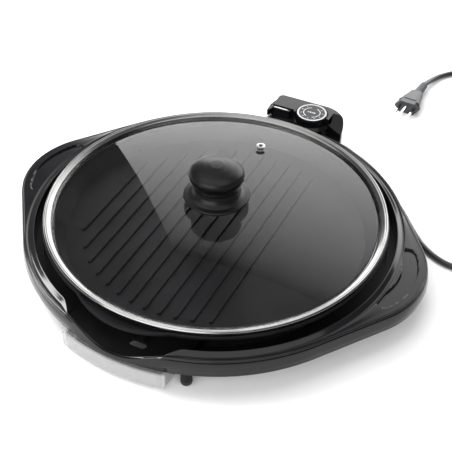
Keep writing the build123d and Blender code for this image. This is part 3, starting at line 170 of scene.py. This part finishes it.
SATIN_BLACK = surface("satin_black", (0.006, 0.006, 0.0065), (0.010, 0.010, 0.011), (0.22, 0.30), bump=0.03)
GLOSS_BLACK = surface(
    "gloss_black", (0.003, 0.003, 0.0035), (0.005, 0.005, 0.0055), (0.14, 0.2), bump=0.015, specular=0.2
)
KNOB_BLACK = surface(
    "knob_black", (0.003, 0.003, 0.0035), (0.006, 0.006, 0.0065), (0.3, 0.34), bump=0.0, specular=0.2
)
MATT_BLACK = surface(
    "matt_black", (0.003, 0.003, 0.003), (0.006, 0.006, 0.006), (0.5, 0.62), bump=0.12, specular=0.2
)
COATING = surface(
    "non_stick",
    (0.004, 0.004, 0.0045),
    (0.009, 0.009, 0.010),
    (0.34, 0.4),
    grain=1400,
    bump=0.01,
    specular=0.1,
)
RIM_BLACK = surface(
    "rim_black", (0.004, 0.004, 0.0045), (0.007, 0.007, 0.008), (0.09, 0.14), bump=0.01, specular=0.28
)
RIM_STEEL = surface("rim_steel", (0.24, 0.24, 0.235), (0.30, 0.30, 0.295), (0.16, 0.19), 1.0, 500, 0.0)
DULL_STEEL = surface("dull_steel", (0.36, 0.36, 0.35), (0.5, 0.5, 0.49), (0.3, 0.45), 1.0, 500, 0.05)
NICKEL = surface("nickel", (0.66, 0.65, 0.62), (0.78, 0.77, 0.74), (0.14, 0.24), 1.0, 600, 0.03)
BRASS = surface("brass", (0.6, 0.45, 0.2), (0.72, 0.56, 0.28), (0.2, 0.35), 1.0, 500, 0.04)
CERAMIC = surface("ceramic", (0.78, 0.76, 0.7), (0.86, 0.85, 0.8), (0.35, 0.5), bump=0.06)
RUBBER = surface("rubber", (0.008, 0.008, 0.008), (0.016, 0.016, 0.016), (0.5, 0.65), grain=700, bump=0.12)
SHEATH = surface(
    "cord_sheath", (0.006, 0.006, 0.006), (0.012, 0.012, 0.012), (0.3, 0.42), grain=500, bump=0.06
)
PLUG_GREY = surface(
    "plug_grey", (0.022, 0.025, 0.029), (0.036, 0.040, 0.045), (0.34, 0.46), grain=1600, bump=0.16
)
SILICONE = surface("silicone_lead", (0.35, 0.03, 0.02), (0.45, 0.05, 0.03), (0.4, 0.5), bump=0.05)
LAMP = surface("neon_lamp", (0.75, 0.35, 0.2), (0.85, 0.5, 0.3), (0.1, 0.2), bump=0.02)
# The pilot lens's pale grey is partly its own colour and partly a painted highlight: it stands in for the
# bright line of light along the control's front top edge.
PALE_LENS_WITH_PAINTED_HIGHLIGHT = surface("pilot_lens_painted_highlight", (0.45, 0.46, 0.45), (0.6, 0.61, 0.6), (0.16, 0.26), bump=0.02)
BRIGHT_RING = surface("bright_ring", (0.26, 0.27, 0.28), (0.36, 0.37, 0.38), (0.25, 0.34), 0.5, bump=0.03)
MARKS = surface("printed_marks", (0.34, 0.35, 0.36), (0.44, 0.45, 0.46), (0.4, 0.5), bump=0.02)
GLASS = clear_sheet("lid_glass", (0.94, 0.94, 0.942), (0.0, 0.02))
TRAY_CLEAR = clear_sheet(
    "tray_clear", (0.97, 0.97, 0.97), (0.03, 0.08), body=0.24, body_colour=(0.9, 0.9, 0.9), edge=0.25
)


# ---------------------------------------------------------------- mesh helpers
def make_piece(name, verts, faces, material, body, smooth=40.0):
    """A mesh piece in the frame's metres that rides on a body."""
    mesh = bpy.data.meshes.new(name)
    mesh.from_pydata([tuple(v) for v in verts], [], faces)
    mesh.validate()
    mesh.update()
    mesh.polygons.foreach_set("use_smooth", [True] * len(mesh.polygons))
    mesh.set_sharp_from_angle(angle=radians(smooth))
    mesh.materials.append(material)
    piece = bpy.data.objects.new(name, mesh)
    bpy.context.scene.collection.objects.link(piece)
    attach(piece, body)
    return piece


def rounded(corners, steps=5):
    """A polyline in mm whose corners (x, y, radius) are rounded into arcs."""
    line = []
    count = len(corners)
    for number, corner in enumerate(corners):
        here = Vector(corner[:2])
        radius = corner[2] if len(corner) > 2 else 0
        if radius == 0:
            line.append(here)
            continue
        before = (Vector(corners[number - 1][:2]) - here)
        after = (Vector(corners[(number + 1) % count][:2]) - here)
        half = before.angle(after) / 2
        reach = min(radius / max(sin(half) / cos(half), 1e-6), before.length * 0.49, after.length * 0.49)
        radius = reach * sin(half) / cos(half)
        middle = here + (before.normalized() + after.normalized()).normalized() * (radius / sin(half))
        start = here + before.normalized() * reach - middle
        end = here + after.normalized() * reach - middle
        sweep = start.angle(end)
        for step in range(steps + 1):
            share = step / steps
            line.append(middle + (start * sin(sweep * (1 - share)) + end * sin(sweep * share)) / sin(sweep))
    return line


def tube_faces(rings, size, close_rings=True, close_section=True):
    """Quads between `rings` copies of a section with `size` points."""
    faces = []
    for ring in range(rings if close_rings else rings - 1):
        after = (ring + 1) % rings
        for point in range(size if close_section else size - 1):
            beyond = (point + 1) % size
            near, far = ring * size, after * size
            faces.append((near + point, far + point, far + beyond, near + beyond))
    return faces


def turned(middle, radius, turn, height):
    """A point in metres, from mm, at an angle round an upright axis."""
    return (middle.x + radius * MM * cos(turn), middle.y + radius * MM * sin(turn), height * MM)


def lathe(name, corners, material, body, centre=None, segments=160, steps=5):
    """Turn a closed section (radius, height, corner radius), in mm, about an upright axis."""
    section = rounded(corners, steps)
    middle = centre or AXIS
    verts = []
    for segment in range(segments):
        turn = 2 * pi * segment / segments
        for radius, height in section:
            verts.append(turned(middle, radius, turn, height))
    return make_piece(name, verts, tube_faces(segments, len(section)), material, body)


def dress(node, material, bevel=0.0):
    """Give a CAD node its material, and a small bevel where its edges would look cut."""
    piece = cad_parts[node]
    piece.data.materials.clear()
    piece.data.materials.append(material)
    if bevel:
        edge = piece.modifiers.new("bevel", "BEVEL")
        edge.width = bevel * MM
        edge.segments = 3
        edge.limit_method = "ANGLE"
        edge.angle_limit = radians(40)
        edge.harden_normals = True


def step_between(low, high, value):
    """0 below low, 1 above high, and a smooth step between them."""
    share = min(max((value - low) / (high - low), 0.0), 1.0)
    return share * share * (3 - 2 * share)


# ---------------------------------------------------------------- camera, floor and light
CAMERA_PLACE = Vector((0.3512, -0.7410, 0.7141))
CAMERA_TARGET = Vector((0.0111, -0.0196, 0.0348))
CAMERA_ROLL = radians(1.23)


def add_camera():
    """The camera at the product shot's angle."""
    data = bpy.data.cameras.new("camera")
    data.sensor_width = 36
    data.lens = 76.4
    camera = bpy.data.objects.new("camera", data)
    bpy.context.scene.collection.objects.link(camera)
    bpy.context.scene.camera = camera
    aim = (CAMERA_TARGET - CAMERA_PLACE).to_track_quat("-Z", "Y").to_matrix().to_4x4()
    camera.matrix_world = Matrix.Translation(CAMERA_PLACE) @ aim @ Matrix.Rotation(CAMERA_ROLL, 4, "Z")


def add_light(name, place, target, size, power, glossy=True):
    """A square softbox."""
    data = bpy.data.lights.new(name, "AREA")
    data.shape = "RECTANGLE"
    data.size, data.size_y = size
    data.energy = power
    light = bpy.data.objects.new(name, data)
    bpy.context.scene.collection.objects.link(light)
    light.location = place
    light.rotation_euler = (Vector(target) - Vector(place)).to_track_quat("-Z", "Y").to_euler()
    light.visible_glossy = glossy
    return light


def add_back_panel():
    """The tall softbox behind the griddle that shows in the glass: bright low down, fading upwards."""
    width, height, lean = 3.4, 3.1, radians(7.5)
    corners = [(-width / 2, 0), (width / 2, 0), (width / 2, height), (-width / 2, height)]
    verts = []
    for across, up in corners:
        verts.append((-0.3 + across + up * sin(lean), 2.2, 0.35 + up * cos(lean)))
    mesh = bpy.data.meshes.new("back_panel")
    mesh.from_pydata(verts, [], [(0, 1, 2, 3)])
    made, tree, output = new_material("back_panel")
    place = tree.nodes.new("ShaderNodeTexCoord")
    split = tree.nodes.new("ShaderNodeSeparateXYZ")
    fade = tree.nodes.new("ShaderNodeMapRange")
    fade.inputs["From Min"].default_value = 0.15
    fade.inputs["From Max"].default_value = 1.0
    fade.inputs["To Min"].default_value = PANEL_STRENGTH
    fade.inputs["To Max"].default_value = 0.0
    glow = tree.nodes.new("ShaderNodeEmission")
    tree.links.new(place.outputs["Generated"], split.inputs["Vector"])
    tree.links.new(split.outputs["Z"], fade.inputs["Value"])
    tree.links.new(fade.outputs["Result"], glow.inputs["Strength"])
    tree.links.new(glow.outputs["Emission"], output.inputs["Surface"])
    mesh.materials.append(made)
    panel = bpy.data.objects.new("back_panel", mesh)
    bpy.context.scene.collection.objects.link(panel)
    panel.visible_diffuse = False


def add_ceiling():
    """A soft overhead sheet that shows in the steel and in the knob."""
    mesh = bpy.data.meshes.new("ceiling")
    side, back, height = 1.6, 0.35, 2.0
    corners = [(-side, -side, height), (side, -side, height), (side, back, height), (-side, back, height)]
    mesh.from_pydata(corners, [], [(0, 1, 2, 3)])
    made, tree, output = new_material("ceiling")
    glow = tree.nodes.new("ShaderNodeEmission")
    glow.inputs["Strength"].default_value = 1.9
    tree.links.new(glow.outputs["Emission"], output.inputs["Surface"])
    mesh.materials.append(made)
    sheet = bpy.data.objects.new("ceiling", mesh)
    bpy.context.scene.collection.objects.link(sheet)
    sheet.visible_diffuse = False


def add_floor():
    """A plain pale floor."""
    mesh = bpy.data.meshes.new("floor")
    mesh.from_pydata([(-6, -6, 0), (6, -6, 0), (6, 6, 0), (-6, 6, 0)], [], [(0, 1, 2, 3)])
    mesh.materials.append(surface("floor", (0.86, 0.86, 0.86), (0.88, 0.88, 0.88), (0.7, 0.8), bump=0.0))
    floor = bpy.data.objects.new("floor", mesh)
    bpy.context.scene.collection.objects.link(floor)


PANEL_STRENGTH = 5.4
add_camera()
add_floor()
add_back_panel()
add_ceiling()
add_light("overhead", (-0.7, 0.5, 2.4), (0, 0, 0), (2.6, 2.6), 95, glossy=False)
add_light("fill", (1.8, -1.6, 1.8), (0, 0, 0), (2.0, 1.6), 40, glossy=False)
add_light("front_fill", (-0.4, -2.4, 1.3), (0, -0.2, 0), (3.0, 1.6), 55)
add_light("left_fill", (-1.6, 0.1, 1.6), (0, 0, 0), (1.4, 1.4), 52, glossy=False)
strip = add_light("left_strip", (-1.5, 0.0, 1.5), (0, 0, 0.05), (0.8, 1.0), 62)
world = bpy.data.worlds.new("studio")
world.use_nodes = True
world.node_tree.nodes["Background"].inputs["Color"].default_value = (1, 1, 1, 1)
world.node_tree.nodes["Background"].inputs["Strength"].default_value = 0.22
bpy.context.scene.world = world
bpy.context.scene.view_settings.view_transform = "Standard"


# ---------------------------------------------------------------- cord
CORD = 0.007
REST = CORD / 2 + 0.0002
RELIEF_TIP = Vector((0.018, 0.2255, 0.0175))
COIL_CENTRE = Vector((0.238, 0.2785, 0))
COIL_RADIUS, COIL_RISE, COIL_TURNS = 0.038, 0.0071, 2.04
PLUG_FRONT = Vector((0.1053, 0.3361, 0.0087))
PLUG_HEADING = Vector((cos(radians(86)), sin(radians(86)), 0))
PLUG_BODY, PLUG_RELIEF = 0.038, 0.030


def from_axis(x, y, z=REST):
    """A point measured from the plate's axis."""
    return AXIS + Vector((x, y, z))


LEAD_ROUTE = [
    RELIEF_TIP,
    from_axis(0.030, 0.247, 0.0085),
    from_axis(0.044, 0.2455),
    from_axis(0.070, 0.238),
    from_axis(0.102, 0.213),
    from_axis(0.133, 0.187),
    from_axis(0.163, 0.157),
    from_axis(0.188, 0.124),
    from_axis(0.212, 0.098),
    from_axis(0.243, 0.084),
    from_axis(0.272, 0.0905),
    from_axis(0.291, 0.1135),
    from_axis(0.2925, 0.146),
    from_axis(0.288, 0.186),
    from_axis(0.279, 0.225),
    from_axis(0.2765, 0.262),
]
TAIL_ROUTE = [
    from_axis(0.268, 0.338, 0.010),
    from_axis(0.260, 0.364, 0.0045),
    from_axis(0.250, 0.398),
    from_axis(0.239, 0.432),
    from_axis(0.225, 0.464),
    from_axis(0.202, 0.487),
    from_axis(0.172, 0.496),
    from_axis(0.143, 0.489),
    from_axis(0.122, 0.467),
    from_axis(0.1125, 0.441, 0.006),
    PLUG_FRONT + PLUG_HEADING * (PLUG_BODY + PLUG_RELIEF),
]


def coil_points():
    """The coil's turns, sixteen points each."""
    points = []
    steps = round(16 * COIL_TURNS)
    for step in range(steps + 1):
        turns = COIL_TURNS * step / steps
        around = Vector((COIL_RADIUS * cos(2 * pi * turns), COIL_RADIUS * sin(2 * pi * turns), 0))
        points.append(COIL_CENTRE + around + Vector((0, 0, REST + COIL_RISE * turns)))
    return points


def add_cord():
    """The whole cord as one smooth curve."""
    points = LEAD_ROUTE + coil_points() + TAIL_ROUTE
    data = bpy.data.curves.new("mains_cord", "CURVE")
    data.dimensions = "3D"
    data.bevel_depth = CORD / 2
    data.bevel_resolution = 5
    data.resolution_u = 10
    data.use_fill_caps = True
    spline = data.splines.new("NURBS")
    spline.points.add(len(points) - 1)
    for slot, point in zip(spline.points, points):
        slot.co = (*point, 1)
    spline.order_u = 3
    spline.use_endpoint_u = True
    data.materials.append(SHEATH)
    cord = bpy.data.objects.new("mains_cord", data)
    bpy.context.scene.collection.objects.link(cord)
    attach(cord, "control")
    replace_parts(cord, "cord_lead", "cord_coil", "cord_tail")
    return cord


cord = add_cord()

# ---------------------------------------------------------------- base shell
BODY, HANDLE, HANDLE_AT = 207.3, 93.1, 141.3
PLATEAU, NOTCH = 204.3, 31.5
CUT_TURN, CUT_LOW, CREST_Z = radians(-3), 28.2, 43.6
CUT_SPANS = {-1: (58.0, 1.0), 1: (66.0, 1.3)}  # on each side: where the dip ends, and its sharpness
LIP_START, LIP_END = 72.0, 47.0  # the rim's top narrows to the wall between these
GRIP_RADIUS, GRIP_SPAN, GRIP_DEPTH = 75.1, radians(32), 6.0
SKIRT_Z = 21.8
OUTER_WALL = [
    (3.5, 21.8, 0.8),
    (0.4, 40.0, 0.5),
    (-1.0, 40.2, 0.3),
    (-1.0, 40.9, 0.3),
    (0.0, 41.2, 0.5),
    (-0.1, 42.5, 0.9),
    (-1.5, 43.0, 0.6),
    (-2.3, 42.4, 0.4),
    (-2.9, 42.9, 0.4),
]
RIM_BAND = [
    (204.3, 43.6),
    (203.6, 43.45),
    (202.8, 42.9),
    (202.0, 42.7),
    (201.2, 42.85),
    (200.4, 43.26),
    (199.4, 43.82),
    (198.4, 44.37),
    (197.4, 44.91),
    (196.8, 45.3),
    (196.2, 45.5),
    (195.7, 45.4),
    (195.4, 45.0),
    (195.4, 34.0),
    (195.4, 24.6),
    (197.9, 24.6),
    (197.9, 41.0),
]
INNER_WALL = [(-2.8, 40.5), (-0.6, 24.9), (-0.6, 21.8)]


def outline_stations(pitch=1.3):
    """Points round the rim's outline with their outward directions, from notch to notch, in mm."""
    tilt = atan2(sqrt(HANDLE_AT**2 - (BODY - HANDLE) ** 2), BODY - HANDLE)
    start = pi / 2 + asin(NOTCH / BODY)
    pieces = [
        (0, BODY, start, pi - tilt),
        (-HANDLE_AT, HANDLE, pi - tilt, pi + tilt),
        (0, BODY, pi + tilt, 2 * pi - tilt),
        (HANDLE_AT, HANDLE, 2 * pi - tilt, 2 * pi + tilt),
        (0, BODY, 2 * pi + tilt, 3 * pi - start),
    ]
    stations = []
    for middle, radius, low, high in pieces:
        first = Vector((middle + radius * cos(low), radius * sin(low)))
        if stations:
            last = stations[-1][0]
            steps = round((first - last).length / pitch)
            for step in range(1, steps):
                stations.append((last.lerp(first, step / steps), Vector((cos(low), sin(low)))))
        steps = round(radius * (high - low) / (pitch if middle or high < 6 else pitch * 0.55))
        for step in range(steps + 1):
            turn = low + (high - low) * step / steps
            way = Vector((cos(turn), sin(turn)))
            stations.append((Vector((middle, 0)) + way * radius, way))
    return stations


def grip_sink(x, y):
    """How deep the handle's sunk grip is at a point, in mm."""
    side = 1 if x > 0 else -1
    across, along = side * x - HANDLE_AT, y
    turn = atan2(along, across)
    turn = min(max(turn, -GRIP_SPAN), GRIP_SPAN)
    away = hypot(across - GRIP_RADIUS * cos(turn), along - GRIP_RADIUS * sin(turn))
    return GRIP_DEPTH * (1 - step_between(6.2, 8.2, away))


def wall_height(across):
    """Height of the outer wall's top at a distance across the front, in mm."""
    span, power = CUT_SPANS[1 if across > 0 else -1]
    share = (1 - cos(pi * min(abs(across) / span, 1))) / 2
    return CUT_LOW + (CREST_Z - CUT_LOW) * share**power


def shell_section(station):
    """One closed section of the rim: up the outer wall, over the top and down the inner wall."""
    point, way = station
    radial = point.normalized()
    wall = rounded(OUTER_WALL, 3)[:-1]
    start = point + way * OUTER_WALL[-1][0]
    end = radial * PLATEAU
    across = point.x * cos(CUT_TURN) + point.y * sin(CUT_TURN) if point.y < 0 else 200.0
    top = wall_height(across)
    scale = (top - SKIRT_Z) / (CREST_Z - SKIRT_Z)
    section = []
    for outward, z in wall:
        low = SKIRT_Z + (z - SKIRT_Z) * scale
        share = step_between(0.88, 1, scale)
        sloped = 3.5 - (low - SKIRT_Z) * 0.17 if z < 42.6 else outward + (1 - scale) * 3.4
        section.append((point + way * (outward * share + sloped * (1 - share)), low))
    share = step_between(LIP_END, LIP_START, abs(across))
    lip = point - way * (0.9 - (1 - scale) * 3.4)
    for step in range(25):
        place = start.lerp(end, step / 24)
        rise = 42.9 + 0.7 * step_between(0, 1, step / 24)
        rise -= grip_sink(place.x, place.y) * step_between(0, 0.06, step / 24)
        section.append((place * share + lip * (1 - share), rise + top - CREST_Z))
    for number, (radius, z) in enumerate(RIM_BAND):
        lead = step_between(LIP_END + 4 * number / 16, LIP_START + 3 * number / 16, abs(across))
        deep = min(top - 0.3 - 0.12 * number, z) if z > 30 else min(SKIRT_Z + 3, z)
        hold = lip - way * (0.15 * min(number, 8))
        section.append((radial * radius * lead + hold * (1 - lead), z * lead + deep * (1 - lead)))
    for outward, z in INNER_WALL:
        section.append((point + way * outward, min(z, top - 3)))
    return section


def add_base_shell():
    """The rim swept along its outline, open at the control's notch."""
    verts = []
    stations = outline_stations()
    for station in stations:
        section = shell_section(station)
        for place, z in section:
            x = place.x
            if place.y > 150 and abs(x) < NOTCH:
                x = NOTCH if station[0].x > 0 else -NOTCH
            verts.append((AXIS.x + x * MM, AXIS.y + place.y * MM, z * MM))
    size = len(section)
    faces = tube_faces(len(stations), size, close_rings=False)
    faces.append(tuple(range(size)))
    faces.append(tuple(range((len(stations) - 1) * size, len(stations) * size))[::-1])
    shell = make_piece("rim_shell", verts, faces, RIM_BLACK, "base", smooth=50)
    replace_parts(shell, "base_shell")
    return shell


# The left strip lights the housing alone, as a bright line along its left band.
lit = bpy.data.collections.new("lit_by_strip")
lit.objects.link(add_base_shell())
strip.light_linking.receiver_collection = lit

# ---------------------------------------------------------------- lid
def dome_z(radius, depth=0.0):
    """Height of the glass, in mm, on a sphere through its top and its edge."""
    ball = (179.0**2 + 14.8**2) / (2 * 14.8)
    return 72.0 - ball + sqrt((ball - depth) ** 2 - radius**2)


def add_lid():
    """Smooth glass, the rolled rim with its fine steps, the knob and the vent."""
    section = []
    for step in range(45):
        radius = 3.0 + (172.5 - 3.0) * step / 44
        section.append((radius, dome_z(radius), 0))
    section += [(174.5, dome_z(174.5), 1.6), (177.8, 55.0, 0.4), (177.8, 51.0, 0.4)]
    section += [(173.7, dome_z(173.7, 4.0), 1.6)]
    for step in range(45):
        radius = 172.0 - (172.0 - 3.0) * step / 44
        section.append((radius, dome_z(radius, 4.0), 0))
    glass = lathe("glass_dome", section, GLASS, "lid", segments=256)
    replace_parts(glass, "lid_glass")
    rim = [
        (174.6, 52.3, 0.1),
        (174.8, 51.4, 0.4),
        (178.3, 50.0, 0.5),
        (179.6, 53.8, 0.4),
        (184.0, 53.9, 0.8),
        (185.0, 54.8, 0.6),
        (185.0, 57.6, 0.9),
        (183.7, 59.0, 0.9),
        (182.6, 58.7, 0.3),
        (182.2, 58.2, 0.15),
        (181.8, 58.4, 0.2),
        (180.9, 58.3, 0.7),
        (178.0, 56.9, 0.8),
        (177.1, 56.3, 0.2),
        (177.0, 55.8, 0.1),
        (177.9, 55.06, 0.05),
        (177.9, 50.9, 0.1),
    ]
    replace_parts(lathe("rolled_rim", rim, RIM_STEEL, "lid", segments=256, steps=4), "lid_rim")
    flange = [
        (2.3, 72.1, 0),
        (30.0, 72.1, 0.5),
        (35.2, 75.4, 0.8),
        (35.7, 76.8, 0.6),
        (34.6, 77.8, 0.8),
        (30.0, 78.6, 3),
        (26.0, 80.8, 4),
        (23.6, 84.4, 3),
        (22.7, 88.0, 0.5),
        (22.7, 90.8, 0.4),
        (21.9, 91.3, 0.3),
        (21.9, 92.0, 0.3),
        (22.5, 92.4, 0.3),
        (22.5, 94.6, 0.3),
        (21.6, 95.0, 0.3),
        (21.6, 96.0, 0.1),
        (2.3, 96.0, 0),
    ]
    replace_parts(lathe("knob_neck", flange, KNOB_BLACK, "lid"), "knob_flange")
    cap = [
        (0.2, 96.1, 0),
        (23.6, 96.1, 0.3),
        (26.6, 97.3, 1.5),
        (28.8, 99.8, 2.5),
        (29.6, 103.4, 3),
        (29.1, 106.4, 3),
        (27.2, 109.0, 4),
        (22.2, 112.2, 8),
        (14.0, 114.8, 12),
        (7.0, 116.2, 12),
        (0.2, 116.5, 0),
    ]
    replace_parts(lathe("knob_dome", cap, KNOB_BLACK, "lid", segments=128), "knob_cap")
    low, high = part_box("steam_vent")
    centre = Vector(((low[0] + high[0]) / 2, (low[1] + high[1]) / 2, 0))
    top = high[2] / MM
    vent = [
        (2.3, top - 6.4, 0.2),
        (2.3, top - 0.2, 0.5),
        (3.2, top, 0.5),
        (5.3, top - 0.5, 0.2),
        (5.3, top - 0.7, 0.1),
        (3.9, top - 0.7, 0.1),
        (3.9, top - 5.0, 0.1),
        (4.8, top - 5.6, 0.3),
    ]
    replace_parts(lathe("vent_eyelet", vent, DULL_STEEL, "lid", centre, segments=64, steps=4), "steam_vent")


add_lid()

# ---------------------------------------------------------------- dial marks
def ring_arc(middle, inner, outer, start, end, z, lift=0.15):
    """Corners and faces of a thin flat arc, in metres, from mm and degrees."""
    verts = []
    steps = max(2, round((end - start) / 4))
    for step in range(steps + 1):
        turn = radians(start + (end - start) * step / steps)
        for radius, height in ((inner, z), (outer, z), (outer, z + lift), (inner, z + lift)):
            verts.append(turned(middle, radius, turn, height))
    faces = tube_faces(steps + 1, 4, close_rings=False)
    faces += [(3, 2, 1, 0), tuple(4 * steps + corner for corner in range(4))]
    return verts, faces


def add_dial_marks():
    """The broken inner ring, the temperature ticks and a short centre bar, printed on the dial."""
    top = DIAL_HIGH[2] / MM - 0.05
    pieces = [ring_arc(DIAL_CENTRE, 9.6, 10.7, -70, 70, top), ring_arc(DIAL_CENTRE, 9.6, 10.7, 112, 248, top)]
    for tick in range(9):
        turn = 135 + 33.75 * tick
        pieces.append(ring_arc(DIAL_CENTRE, 12.4, 14.0, turn - 2.2, turn + 2.2, top))
    for across, depth in ((-4.6, 2.0), (-1.9, 2.6), (0.9, 2.2), (3.4, 2.6)):
        middle = DIAL_CENTRE + Vector((across * MM, 0, 0))
        pieces.append(ring_arc(middle, 0.3, depth / 2, 0, 360, top))
    verts, faces = [], []
    for corners, quads in pieces:
        faces += [tuple(corner + len(verts) for corner in quad) for quad in quads]
        verts += corners
    make_piece("dial_marks", verts, faces, MARKS, "dial", smooth=20)


add_dial_marks()

# ---------------------------------------------------------------- CAD nodes that keep their shape
DRESSES = {
    "base_floor": (MATT_BLACK, 0),
    "base_flange": (MATT_BLACK, 0),
    "tray_bay": (MATT_BLACK, 0),
    "plate_posts": (MATT_BLACK, 0),
    "legs": (MATT_BLACK, 0),
    "heat_reflector": (DULL_STEEL, 0),
    "foot_pads": (RUBBER, 0),
    "base_screws": (DULL_STEEL, 0),
    "plate": (COATING, 0),
    "heating_element": (DULL_STEEL, 0),
    "terminal_pins": (NICKEL, 0),
    "pin_insulators": (CERAMIC, 0.3),
    "inlet_guard": (DULL_STEEL, 0),
    "guard_screws": (DULL_STEEL, 0),
    "knob_screw": (NICKEL, 0),
    "knob_gasket": (RUBBER, 0),
    "control_upper_shell": (GLOSS_BLACK, 0.8),
    "control_lower_shell": (SATIN_BLACK, 0.6),
    "control_screws": (DULL_STEEL, 0),
    "terminal_sockets": (BRASS, 0),
    "thermostat_probe": (NICKEL, 0),
    "thermostat_frame": (DULL_STEEL, 0),
    "contact_blades": (BRASS, 0),
    "contact_stack": (CERAMIC, 0.2),
    # Pilot lens: its pale colour is partly a painted highlight along the control's top edge.
    "pilot_lens": (PALE_LENS_WITH_PAINTED_HIGHLIGHT, 0.5),
    "pilot_lamp": (LAMP, 0),
    "internal_leads": (SILICONE, 0),
    "temperature_dial": (GLOSS_BLACK, 0.3),
    "dial_ring": (BRIGHT_RING, 0.1),
    "dial_shaft": (NICKEL, 0),
    "drip_tray": (TRAY_CLEAR, 0.8),
    "strain_relief": (RUBBER, 0.4),
    "cord_tie": (RUBBER, 0.4),
    "plug_body": (PLUG_GREY, 0.8),
    "plug_relief": (PLUG_GREY, 0.4),
    "plug_pins": (NICKEL, 0.5),
    "plug_pin_sleeves": (RUBBER, 0),
}
for node, (material, bevel) in DRESSES.items():
    dress(node, material, bevel)
